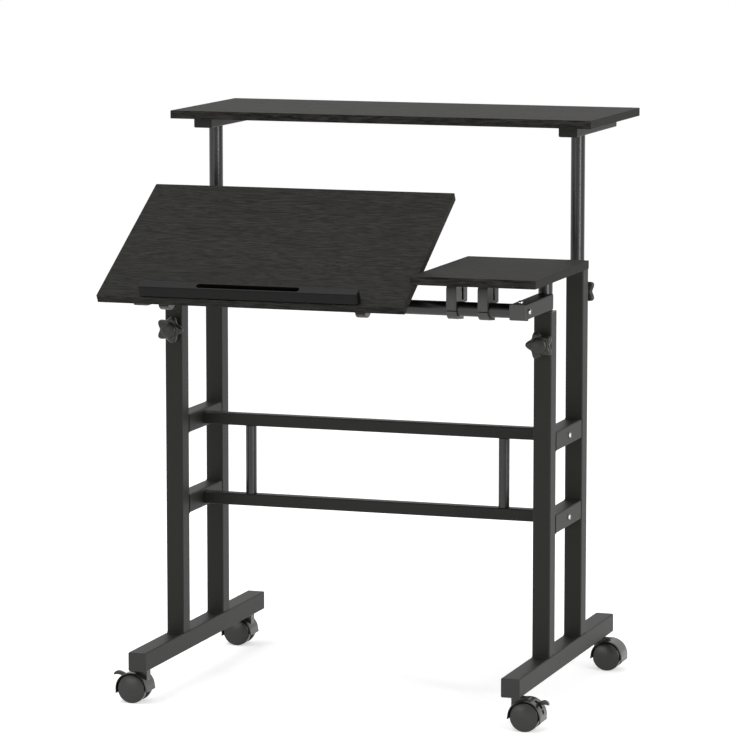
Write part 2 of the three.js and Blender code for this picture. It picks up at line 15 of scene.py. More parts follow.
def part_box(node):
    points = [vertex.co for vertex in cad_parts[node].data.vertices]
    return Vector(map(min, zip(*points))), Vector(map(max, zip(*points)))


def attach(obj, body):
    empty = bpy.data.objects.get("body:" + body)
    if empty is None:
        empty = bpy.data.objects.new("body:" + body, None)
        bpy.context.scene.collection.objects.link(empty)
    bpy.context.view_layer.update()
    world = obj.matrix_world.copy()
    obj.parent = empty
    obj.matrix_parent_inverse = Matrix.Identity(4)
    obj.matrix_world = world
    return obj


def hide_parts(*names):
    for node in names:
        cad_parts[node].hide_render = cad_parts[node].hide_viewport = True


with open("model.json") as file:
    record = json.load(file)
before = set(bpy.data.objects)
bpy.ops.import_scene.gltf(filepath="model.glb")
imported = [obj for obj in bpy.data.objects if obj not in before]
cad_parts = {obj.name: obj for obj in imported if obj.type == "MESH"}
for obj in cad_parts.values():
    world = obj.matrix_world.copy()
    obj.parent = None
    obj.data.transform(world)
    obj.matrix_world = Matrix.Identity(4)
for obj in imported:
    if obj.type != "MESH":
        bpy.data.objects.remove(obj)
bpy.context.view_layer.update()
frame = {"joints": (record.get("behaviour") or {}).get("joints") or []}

log = logging.getLogger("desk")
shift = Matrix.Translation

Loop = list[Vector]
Node = bpy.types.Node
Pair = tuple[float, float]
Outline = Sequence[Pair]  # its points
Rows = tuple[Pair, ...]
WideRows = tuple[tuple[float, ...], ...]
Socket = bpy.types.NodeSocket
Tree = bpy.types.NodeTree

MM = 0.001  # a millimetre in metres; the desk's sizes are in millimetres
ROUND_STEPS = 64  # points round a tube
SMALL_STEPS = 32  # points round a screw or a stem
AXIS_RADIUS = 0.01  # stands for a profile's point that lies on its axis
BEVEL_STEPS = 2
BEVEL_ANGLE = 40.0  # edges are softened from this angle on
SHARP_ANGLE = 42.0  # edges are shaded sharp from this angle on
END_FACE = 0.8  # a face is an end face when it looks along X by more than this
CLOUD_MM = 60.0  # size of the faint clouds in a finish's colour
LEVELS = ("lower", "upper")
HINGE = "top_tilt"
WHITE = (1.0, 1.0, 1.0, 1.0)
# The Mix node's inputs and outputs, which go by number
SHARE, _, VALUE_A, VALUE_B, VECTOR_A, VECTOR_B, COLOUR_A, COLOUR_B = range(8)
VALUE_OUT, VECTOR_OUT, COLOUR_OUT = range(3)
# Takes a castor's side view, drawn in local X and Y, upright
SIDE_VIEW = Matrix(((1, 0, 0, 0), (0, 0, -1, 0), (0, 1, 0, 0), (0, 0, 0, 1)))


class Axis(Enum):
    """The direction a piece's length runs in, as the change of axes that lays local +Z in it."""

    X = ((0, 0, 1), (1, 0, 0), (0, 1, 0))
    Y = ((1, 0, 0), (0, 0, 1), (0, 1, 0))
    Z = ((1, 0, 0), (0, 1, 0), (0, 0, 1))

    def turn(self) -> Matrix:
        """Gives the change of axes as a 4 by 4 matrix."""
        return Matrix(self.value).to_4x4()

    def at(self, place: Vector) -> Matrix:
        """Gives the matrix that lays local +Z along the axis, through a place."""
        return shift(place) @ self.turn()


class Way(StrEnum):
    """One way along an axis of the desk."""

    @property
    def sign(self) -> int:
        """Gives -1 towards the left and the front, 1 towards the right and the rear."""
        return -1 if self in ("left", "front") else 1


class Side(Way):
    """The desk's two sides."""

    LEFT = "left"
    RIGHT = "right"


class End(Way):
    """The desk's front and rear."""

    FRONT = "front"
    REAR = "rear"


class Slot(StrEnum):
    """The record's material slots."""

    LAMINATE = "laminate"
    STEEL = "painted_steel"
    PLASTIC = "moulded_plastic"
    CASTOR = "castor_plastic"
    CHROME = "bolt_chrome"


class Body(StrEnum):
    """The bodies that carry more than one piece."""

    FRAME = "frame"
    TABLE = "front_table"
    TOP = "tilting_top"
    SHELF = "rear_shelf"


def linear(hex_colour: str) -> tuple[float, ...]:
    """Turns an sRGB hex colour into linear values.

    Args:
        hex_colour: six hex digits after a hash sign.

    Returns:
        Linear red, green, blue and an alpha of 1.
    """
    values = [int(hex_colour[i : i + 2], 16) / 255 for i in (1, 3, 5)]
    channels = [v / 12.92 if v <= 0.04045 else ((v + 0.055) / 1.055) ** 2.4 for v in values]
    return (*channels, 1.0)


def per_metre(size_mm: float) -> float:
    """Gives the texture scale whose features are about as large as a length in millimetres."""
    return 1 / (size_mm * MM)


def empty_tree(owner: bpy.types.Material | bpy.types.World) -> Tree:
    """Gives a new material or world its node tree, with nothing in it.

    Args:
        owner: the material or world.

    Returns:
        The node tree.
    """
    owner.use_nodes = True
    owner.node_tree.nodes.clear()
    return owner.node_tree


def add_node(
    tree: Tree,
    kind: str,
    settings: dict[str | int, object] | None = None,
    links: dict[str | int, Socket] | None = None,
) -> Node:
    """Adds a node with its settings and links.

    Args:
        tree: the material's or world's node tree.
        kind: Blender's name of the node type, after ShaderNode.
        settings: values by attribute name, or by input name or number where there is no such one.
        links: the sockets that feed the node's inputs, by input name or number.

    Returns:
        The new node.
    """
    node = tree.nodes.new(f"ShaderNode{kind}")
    for key, value in (settings or {}).items():
        if isinstance(key, str) and hasattr(node, key):
            setattr(node, key, value)
        else:
            node.inputs[key].default_value = value
    for key, source in (links or {}).items():
        tree.links.new(source, node.inputs[key])
    return node


def add_object(name: str, data: bpy.types.ID) -> bpy.types.Object:
    """Adds an object to the scene.

    Args:
        name: the object's name.
        data: its mesh, lamp or camera.

    Returns:
        The object.
    """
    made = bpy.data.objects.new(name, data)
    bpy.context.scene.collection.objects.link(made)
    return made


@dataclass(frozen=True)
class Finish:
    """A surface finish: one material, made once and shared by the pieces that have it."""

    name: str
    slot: Slot
    colour: str
    shade: str
    roughness: float
    grain_mm: float
    relief_mm: float
    specular: float = 0.5
    metallic: float = 0.0
    gloss_spread: float = 0.12  # share by which the roughness moves either way

    @cache
    def material(self) -> bpy.types.Material:
        """Gives the finish's material, which is made at its first use.

        Returns:
            The material.
        """
        made = bpy.data.materials.new(self.name)
        tree = empty_tree(made)
        surface = {
            "Base Color": linear(self.colour), "Roughness": self.roughness,
            "Metallic": self.metallic, "Specular IOR Level": self.specular,
        }
        shader = add_node(tree, "BsdfPrincipled", surface)
        add_node(tree, "OutputMaterial", links={"Surface": shader.outputs[0]})
        self.dress(tree, shader)
        return made

    def dress(self, tree: Tree, shader: Node) -> None:
        """Adds the finish's cloudy shade, its uneven gloss and its relief.

        Args:
            tree: the material's node tree.
            shader: the surface shader.
        """
        where = {"Vector": add_node(tree, "TexCoord").outputs["Object"]}
        fine = {"Scale": per_metre(self.grain_mm), "Detail": 3.0, "Roughness": 0.6}
        grain = add_node(tree, "TexNoise", fine, where).outputs["Fac"]
        wide = {"Scale": per_metre(CLOUD_MM), "Detail": 4.0}
        cloud = add_node(tree, "TexNoise", wide, where).outputs["Fac"]
        self.lay(tree, shader, share=cloud, gloss=grain, height=grain)

    def lay(self, tree: Tree, shader: Node, share: Socket, gloss: Socket, height: Socket) -> None:
        """Mixes the finish's two colours, varies its gloss and presses its pattern in.

        Args:
            tree: the material's node tree.
            shader: the surface shader.
            share: the share of the shade colour.
            gloss: the pattern that makes the surface rougher, from 0 to 1.
            height: the pattern that is pressed in, from 0 to 1.
        """
        pair = {COLOUR_A: linear(self.colour), COLOUR_B: linear(self.shade)}
        tone = add_node(tree, "Mix", {"data_type": "RGBA"} | pair, {SHARE: share})
        low, high = (self.roughness * (1 + way * self.gloss_spread) for way in (-1, 1))
        matt = add_node(tree, "MapRange", {"To Min": low, "To Max": high}, {"Value": gloss})
        depth = {"Strength": 1.0, "Distance": self.relief_mm * MM}
        relief = add_node(tree, "Bump", depth, {"Height": height})
        tree.links.new(tone.outputs[COLOUR_OUT], shader.inputs["Base Color"])
        tree.links.new(matt.outputs[0], shader.inputs["Roughness"])
        tree.links.new(relief.outputs[0], shader.inputs["Normal"])


@dataclass(frozen=True)
class WoodGrainLaminate(Finish):
    """Melamine paper over particle board, pressed with a fine wavy wood grain."""

    gloss_spread: float = 0.15
    tilt: float = 0.0
    run: Axis = Axis.X
    figure_mm: float = 30.0
    sway_mm: float = 48.0
    stretch: float = 12.0  # length of a fibre over its width
    sway_share: float = 0.032
    fibre_share: float = 0.9
    contrast: Pair = (0.395, 0.605)  # the pattern's levels that get the full colours

    def dress(self, tree: Tree, shader: Node) -> None:
        """Adds the grain: long fibres over a wider wavy figure, both pressed in.

        The real fibres are finer than a millimetre. They are drawn two millimetres wide, so
        that they show in a picture of the whole desk.

        Args:
            tree: the material's node tree.
            shader: the surface shader.
        """
        place = add_node(tree, "TexCoord").outputs["Object"]
        drawn = {Axis.X: (1 / self.stretch, 1.0, 1.0), Axis.Y: (1.0, 1 / self.stretch, 1.0)}
        turned_to = {"Rotation": (-self.tilt, 0.0, 0.0), "Scale": drawn[self.run]}
        laid = add_node(tree, "Mapping", turned_to, {"Vector": place}).outputs[0]
        wave = {"Scale": per_metre(self.sway_mm), "Detail": 2.0}
        sway = add_node(tree, "TexNoise", wave, {"Vector": laid}).outputs["Color"]
        bend = {"data_type": "VECTOR", SHARE: self.sway_share}
        bent = add_node(tree, "Mix", bend, {VECTOR_A: laid, VECTOR_B: sway})
        where = {"Vector": bent.outputs[VECTOR_OUT]}
        wide = {"Scale": per_metre(self.figure_mm), "Detail": 5.0, "Roughness": 0.62}
        figure = add_node(tree, "TexNoise", wide, where).outputs["Fac"]
        fine = {"Scale": per_metre(self.grain_mm), "Detail": 3.0, "Roughness": 0.7}
        fibres = add_node(tree, "TexNoise", fine, where).outputs["Fac"]
        blend = {"data_type": "FLOAT", SHARE: self.fibre_share}
        mixed = add_node(tree, "Mix", blend, {VALUE_A: figure, VALUE_B: fibres})
        both = mixed.outputs[VALUE_OUT]
        levels = {"From Min": self.contrast[0], "From Max": self.contrast[1]}
        spread = add_node(tree, "MapRange", levels, {"Value": both}).outputs[0]
        self.lay(tree, shader, share=spread, gloss=spread, height=both)


# Each finish: its name, slot, colour, shade, roughness, grain and relief in millimetres,
# specular level and, for a metal, its metallic share

# Polyester powder coat, baked on steel tube: satin black with a fine orange peel
POWDER_COAT = Finish("powder_coat_satin", Slot.STEEL, "#171715", "#1c1c1a", 0.5, 1.4, 0.015, 0.21)
# Powder coat flowed out on drawn round tube: smoother, with a clear streak of light along it
TUBE_COAT = Finish("powder_coat_gloss", Slot.STEEL, "#0e0e0d", "#121211", 0.3, 2.0, 0.002, 0.5)
# Glass-filled nylon, moulded in a smooth tool: dark grey with a soft gloss on its rounded edges
MOULDED_NYLON = Finish("nylon_moulded", Slot.PLASTIC, "#1d1d1b", "#232321", 0.32, 0.9, 0.01, 0.34)
# Plain nylon, moulded in a polished tool: glossier, and its lighter grey is painted light that
# makes these front faces render brighter than the other nylon
PAINTED_LIGHT_NYLON = Finish(
    "nylon_polished_tool_painted_light", Slot.PLASTIC, "#2d2d2a", "#343431", 0.32, 1.0, 0.006, 0.45
)
# ABS, moulded and texture-etched: deep black that only shines where it turns to the light
MATT_ABS = Finish("abs_matt_etched", Slot.PLASTIC, "#090909", "#0d0d0c", 0.4, 0.8, 0.012, 0.12)
# Polypropylene wheels, moulded in a polished tool: soft gloss
CASTOR_PLASTIC = Finish(
    "polypropylene_moulded", Slot.CASTOR, "#1e1e1c", "#232321", 0.24, 1.6, 0.003, 0.42
)
# Polypropylene hoods, moulded in a mirror-polished tool: glossier than the wheels
HOOD_PLASTIC = Finish(
    "polypropylene_polished", Slot.CASTOR, "#252523", "#2a2a28", 0.22, 2.5, 0.004, 0.4
)
# Chrome plate on a cold-formed screw: bright, with a faint polishing haze
CHROME_PLATE = Finish("chrome_plate", Slot.CHROME, "#bdbdbd", "#c6c6c6", 0.16, 0.8, 0.002, 0.5, 1.0)
# Phosphated steel of the small set screws: dull near-black
BLACK_STEEL = Finish("phosphated_steel", Slot.CHROME, "#161615", "#1d1d1c", 0.5, 0.8, 0.01, 0.4)
# Melamine-faced board: near-black with a pressed open-pore wood grain
LAMINATE = WoodGrainLaminate(
    "melamine_wood_grain", Slot.LAMINATE, "#0a0a09", "#302f2c", 0.62, 2.0, 0.05, 0.08
)


def rounded(width: float, height: float, radius: float, steps: int = 6) -> list[Pair]:
    """Draws a rectangle round the origin with rounded corners, anticlockwise.

    Args:
        width: its size along the first axis.
        height: its size along the second axis.
        radius: the corners' radius.
        steps: the number of steps in each corner.

    Returns:
        The outline's points.
    """
    points = []
    for turn, (sx, sy) in enumerate(((1, 1), (-1, 1), (-1, -1), (1, -1))):
        cx, cy = sx * (width / 2 - radius), sy * (height / 2 - radius)
        points += [(cx + x, cy + y) for x, y in arc(radius, 90 * turn, 90 * turn + 90, steps)]
    return points


def arc(radius: float, start: float, end: float, steps: int) -> list[Pair]:
    """Draws an arc round the origin between two angles in degrees, both ends included."""
    angles = [radians(start + (end - start) * step / steps) for step in range(steps + 1)]
    return [(radius * cos(angle), radius * sin(angle)) for angle in angles]


def circle(radius: float, steps: int = ROUND_STEPS) -> list[Pair]:
    """Draws a circle round the origin, anticlockwise."""
    return arc(radius, 0, 360, steps)[:-1]


def scaled(points: Outline, share: float) -> list[Pair]:
    """Scales an outline about the origin."""
    return [(x * share, y * share) for x, y in points]


def lift(points: Outline, height: float) -> Loop:
    """Lifts a flat outline to a height along local Z."""
    return [Vector((x, y, height)) for x, y in points]


def turned(profile: Outline, steps: int) -> list[Loop]:
    """Draws the loops of a profile of radius and height that is turned round local Z."""
    return [lift(circle(max(r, AXIS_RADIUS), steps), height) for r, height in profile]


@dataclass
class Shell:
    """A mesh in the making, in millimetres, that becomes one piece of the desk."""

    mesh: bmesh.types.BMesh = field(default_factory=bmesh.new)

    def loft(self, loops: Sequence[Loop], place: Matrix, ring: bool = False) -> None:
        """Skins a row of loops that have the same number of points.

        Args:
            loops: the loops in order.
            place: takes the loops to the desk's frame.
            ring: joins the last loop to the first in place of closing both ends.
        """
        rows = [[self.mesh.verts.new(place @ point) for point in loop] for loop in loops]
        pairs = list(zip(rows, rows[1:]))
        if ring:
            pairs.append((rows[-1], rows[0]))
        for low, high in pairs:
            for i, corner in enumerate(low):
                j = (i + 1) % len(low)
                self.mesh.faces.new((corner, low[j], high[j], high[i]))
        if not ring:
            self.mesh.faces.new(rows[0][::-1])
            self.mesh.faces.new(rows[-1])

    def prism(self, outline: Outline, bottom: float, top: float, place: Matrix) -> None:
        """Draws an outline out between two heights along local Z, closed at both ends."""
        self.loft([lift(outline, bottom), lift(outline, top)], place)

    def soften(self, width: float, sharp: float = BEVEL_ANGLE) -> None:
        """Rounds the edges that are sharper than an angle.

        Args:
            width: the rounding's width.
            sharp: the angle between the faces, in degrees.
        """
        bmesh.ops.recalc_face_normals(self.mesh, faces=self.mesh.faces)
        self.mesh.normal_update()
        limit = radians(sharp)
        edges = [e for e in self.mesh.edges if e.is_manifold and e.calc_face_angle() > limit]
        bmesh.ops.bevel(
            self.mesh, geom=edges, offset=width, offset_type="OFFSET", segments=BEVEL_STEPS,
            profile=0.5, affect="EDGES", clamp_overlap=True,
        )

    def join(self, other: "Shell") -> None:
        """Adds another mesh to this one.

        Args:
            other: the mesh to add, which is used up.
        """
        data = bpy.data.meshes.new("joined")
        other.mesh.to_mesh(data)
        other.mesh.free()
        self.mesh.from_mesh(data)
        bpy.data.meshes.remove(data)

    def cut(self, tool: "Shell") -> None:
        """Cuts a closed mesh out of this one.

        Args:
            tool: the mesh to cut away, which is used up.
        """
        pair = []
        for shell in (self, tool):
            bmesh.ops.recalc_face_normals(shell.mesh, faces=shell.mesh.faces)
            data = bpy.data.meshes.new("cut")
            shell.mesh.to_mesh(data)
            shell.mesh.free()
            pair.append(add_object("cut", data))
        carve = pair[0].modifiers.new("carve", "BOOLEAN")
        carve.operation = "DIFFERENCE"
        carve.solver = "EXACT"
        carve.object = pair[1]
        result = pair[0].evaluated_get(bpy.context.evaluated_depsgraph_get())
        self.mesh = bmesh.new()
        self.mesh.from_mesh(result.to_mesh())
        result.to_mesh_clear()
        for made in pair:
            bpy.data.meshes.remove(made.data)

    def piece(
        self, name: str, body: str, finish: Finish, node: str = "", ends: Finish | None = None
    ) -> None:
        """Makes the mesh into a piece that rides on a body.

        Args:
            name: the piece's name.
            body: the body it moves with.
            finish: its finish.
            node: the CAD node that it stands for, if there is one.
            ends: the finish of the faces that look along X, where it is another one.
        """
        bmesh.ops.recalc_face_normals(self.mesh, faces=self.mesh.faces)
        self.mesh.transform(Matrix.Scale(MM, 4))
        data = bpy.data.meshes.new(name)
        self.mesh.to_mesh(data)
        self.mesh.free()
        data.materials.append(finish.material())
        if ends:
            data.materials.append(ends.material())
            for face in data.polygons:
                face.material_index = int(abs(face.normal.x) > END_FACE)
        data.shade_smooth()
        data.set_sharp_from_angle(angle=radians(SHARP_ANGLE))
        made = add_object(name, data)
        made.modifiers.new("even_shading", "WEIGHTED_NORMAL").keep_sharp = True
        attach(made, str(body))
        if node:
            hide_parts(node)
        log.info("%s on %s, %d faces", name, body, len(data.polygons))


@dataclass
class Box:
    """A CAD node's box at rest, in millimetres."""

    node: str
    low: Vector = field(init=False)
    high: Vector = field(init=False)
    size: Vector = field(init=False)
    middle: Vector = field(init=False)

    def __post_init__(self) -> None:
        """Reads the box and works out its size and its middle."""
        self.low, self.high = (Vector(corner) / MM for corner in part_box(self.node))
        self.size, self.middle = self.high - self.low, (self.low + self.high) / 2

    def seen_along(self, axis: Axis) -> Vector:
        """Gives its two sizes across an axis, then its length along it."""
        return axis.turn().to_3x3().transposed() @ self.size


def joint(name: str) -> dict:
    """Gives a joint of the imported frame."""
    return next(row for row in frame["joints"] if row["name"] == name)


def joint_place(name: str) -> Vector:
    """Gives a point on a joint's axis, in millimetres."""
    return Vector(joint(name)["pos_m"]) / MM


def on_hinge(node: str, tilt: Matrix) -> Matrix:
    """Gives the frame of a board with this tilt, on the hinge's axis at a node's middle."""
    _, y, z = joint_place(HINGE)
    return shift((Box(node).middle.x, y, z)) @ tilt


@dataclass
class Assembly:
    """A sub-assembly of tubes and boards that ride on one body."""

    body: Body
    corner: float = 2.6
    rim: float = 0.5
    board_corner: float = 1.6
    board_edge: float = 0.9
    board_steps: int = 3
    # How far outside the tube, and how high, each edge of a bead lies
    bead: Rows = ((-0.3, 0.0), (1.3, 0.0), (0.78, 1.04), (-0.3, 1.3))

    def rectangular(self, node: str, axis: Axis) -> None:
        """Replaces a rectangular tube with one that has round corners and softened ends."""
        width, height, _ = Box(node).seen_along(axis)
        self.tube(node, axis, rounded(width, height, self.corner), POWDER_COAT)

    def round(self, node: str, axis: Axis) -> None:
        """Replaces a round tube with a smooth one that has softened ends."""
        self.tube(node, axis, circle(Box(node).seen_along(axis).x / 2), TUBE_COAT)

    def tube(self, node: str, axis: Axis, outline: Outline, finish: Finish) -> None:
        """Draws a section out to a CAD tube's length and softens its ends.

        Args:
            node: the CAD node's name.
            axis: the direction of its length.
            outline: its section.
            finish: its finish.
        """
        box = Box(node)
        half = box.seen_along(axis).z / 2
        shell = Shell()
        shell.prism(outline, -half, half, axis.at(box.middle))
        shell.soften(self.rim)
        shell.piece(f"{node}_tube", self.body, finish, node)

    def weld(self, shell: Shell, across: Vector, place: Matrix) -> None:
        """Runs a painted weld bead round a rectangular tube.

        Args:
            shell: the mesh that gets the bead.
            across: the tube's two sizes.
            place: takes the tube's section to the welded face.
        """
        loops = []
        for out, rise in self.bead:
            points = []
            for x, y in rounded(across.x, across.y, self.corner):
                share = 1 + out / hypot(x, y)
                points.append((x * share, y * share))
            loops.append(lift(points, rise))
        shell.loft(loops, place, ring=True)

    def flat_board(self, node: str) -> None:
        """Replaces a board that lies flat with one that fills its box."""
        box = Box(node)
        self.board(node, box.size, shift(box.middle), LAMINATE)

    def board(self, node: str, size: Vector, place: Matrix, finish: WoodGrainLaminate) -> None:
        """Replaces a board, with soft edges and the grain of its end bands turned along them.

        Args:
            node: the CAD node's name.
            size: its width, depth and thickness.
            place: takes the board from round the origin to the desk's frame.
            finish: the finish of its faces and long edges.
        """
        slab = Shell()
        outline = rounded(size.x, size.y, self.board_corner, self.board_steps)
        slab.prism(outline, -size.z / 2, size.z / 2, place)
        slab.soften(self.board_edge)
        band = replace(finish, name=f"{finish.name}_end_band", run=Axis.Y)
        slab.piece(f"{node}_laminate", self.body, finish, node, band)


@dataclass
class SideFrames(Assembly):
    """The two rolling side frames with what joins them."""

    plate: float = 2.5
    plug_gap: float = 2.5
    plug_corner: float = 1.5
    cap_edge: float = 0.7
    throat: float = 13.1
    bush_rise: float = 1.5
    bush_corner_steps: int = 15
    sleeve_share: float = 0.88
    rim_share: float = 0.975
    rim_drop: float = 0.4
    mouth_share: float = 1.04
    mouth_drop: float = 0.5
    bead_gap: float = 0.3

    def build(self) -> None:
        """Builds the feet, legs, rails, crossbars, struts, caps, bushes and bolts."""
        for side in Side:
            self.rectangular(f"{side}_foot", Axis.Y)
            self.round(f"{side}_strut", Axis.Z)
            for level in LEVELS:
                self.rectangular(f"{side}_{level}_rail", Axis.Y)
                Bolt(f"{side}_{level}_rail_bolt", self.body, side).build()
            for end in End:
                self.rectangular(f"{side}_{end}_leg", Axis.Z)
                self.cap(f"{side}_{end}_foot_cap", end)
                self.bush(f"{side}_{end}_leg_bush")
            self.beads(side)
        for level in LEVELS:
            self.rectangular(f"{level}_crossbar", Axis.X)

    def cap(self, node: str, end: End) -> None:
        """Makes a foot's end cap: a softened plate with its plug.

        Args:
            node: the CAD node's name.
            end: the foot's end.
        """
        box = Box(node)
        width, depth, height = box.size
        start, inner = box.low.y, depth
        if end is End.REAR:
            start, inner = box.high.y - self.plate, self.plate - depth
        place = Axis.Y.at(Vector((box.middle.x, start, box.middle.z)))
        shell = Shell()
        shell.prism(rounded(width, height, self.corner), 0, self.plate, place)
        gap = 2 * self.plug_gap
        plug = rounded(width - gap, height - gap, self.plug_corner)
        shell.prism(plug, *sorted((self.plate / 2, inner)), place)
        shell.soften(self.cap_edge)
        shell.piece(f"{node}_moulding", self.body, MOULDED_NYLON, node)

    def bush(self, node: str) -> None:
        """Makes a leg's guide bush: a rim with a round throat for the post.

        Args:
            node: the CAD node's name.
        """
        box = Box(node)
        width, depth, height = box.size
        outer = rounded(width, depth, self.corner, self.bush_corner_steps)
        inner = []
        for x, y in outer:
            share = self.throat / hypot(x, y)
            inner.append((x * share, y * share))
        rows = (
            (outer, self.sleeve_share, -height),
            (outer, self.sleeve_share, -self.bush_rise),
            (outer, 1.0, -self.bush_rise),
            (outer, 1.0, -self.rim_drop),
            (outer, self.rim_share, 0.0),
            (inner, self.mouth_share, 0.0),
            (inner, 1.0, -self.mouth_drop),
            (inner, 1.0, -height),
        )
        loops = [lift(scaled(points, share), level) for points, share, level in rows]
        shell = Shell()
        top = shift((box.middle.x, box.middle.y, box.high.z))
        shell.loft(loops, top, ring=True)
        shell.piece(f"{node}_moulding", self.body, MOULDED_NYLON, node)

    def beads(self, side: Side) -> None:
        """Makes the weld beads of a side frame as one painted piece.

        Args:
            side: the desk's side.
        """
        shell = Shell()
        foot_top = Box(f"{side}_foot").high.z
        for end in End:
            leg = Box(f"{side}_{end}_leg")
            place = shift((leg.middle.x, leg.middle.y, foot_top))
            self.weld(shell, leg.seen_along(Axis.Z), place)
        for level in LEVELS:
            rail = Box(f"{side}_{level}_rail")
            across = rail.seen_along(Axis.Y)
            x, y, z = rail.middle
            for flip in (1, -1):
                face = y - flip * (across.z / 2 + self.bead_gap)
                mirror = Matrix.Diagonal((1, flip, 1, 1))
                place = shift((x, face, z)) @ mirror @ Axis.Y.turn()
                self.weld(shell, across, place)
        shell.piece(f"{side}_frame_welds", self.body, POWDER_COAT)


@dataclass
class Bolt:
    """A chrome button-head screw with a hexagon socket, whose head faces outwards."""

    node: str
    body: Body
    side: Side
    seat: float = 3.5
    shank: float = 3.0
    point: Pair = (0.6, 1.0)
    dome: Rows = (
        (4.704, 0.0), (4.9, 0.3), (4.9, 0.9), (4.557, 2.1), (3.822, 3.08), (2.842, 3.5),
    )
    socket: float = 2.7
    # The socket's size as a share, and its height, from its chamfer to its floor
    socket_rows: Rows = ((1.08, 3.5), (1.0, 3.3), (1.0, 1.3))
    steps: int = 36  # a multiple of six, so that points lie on the hexagon's corners

    def build(self) -> None:
        """Replaces the CAD bolt, drawn from its shank's end to its socket's floor."""
        box = Box(self.node)
        sign = self.side.sign
        face = (box.high.x if sign > 0 else box.low.x) - sign * self.seat
        mirror = Matrix.Diagonal((sign, 1, 1, 1))
        place = shift((face, box.middle.y, box.middle.z)) @ mirror @ Axis.X.turn()
        length = box.size.x - self.seat
        inset, rise = self.point
        shank = ((self.shank - inset, -length), (self.shank, rise - length), (self.shank, 0.0))
        hexagon = []
        for x, y in circle(1.0, self.steps):
            angle = atan2(y, x) % (pi / 3) - pi / 6
            reach = self.socket * cos(pi / 6) / cos(angle)
            hexagon.append((x * reach, y * reach))
        socket = [lift(scaled(hexagon, share), height) for share, height in self.socket_rows]
        shell = Shell()
        shell.loft([*turned((*shank, *self.dome), self.steps), *socket], place)
        shell.piece(f"{self.node}_screw", self.body, CHROME_PLATE, self.node)


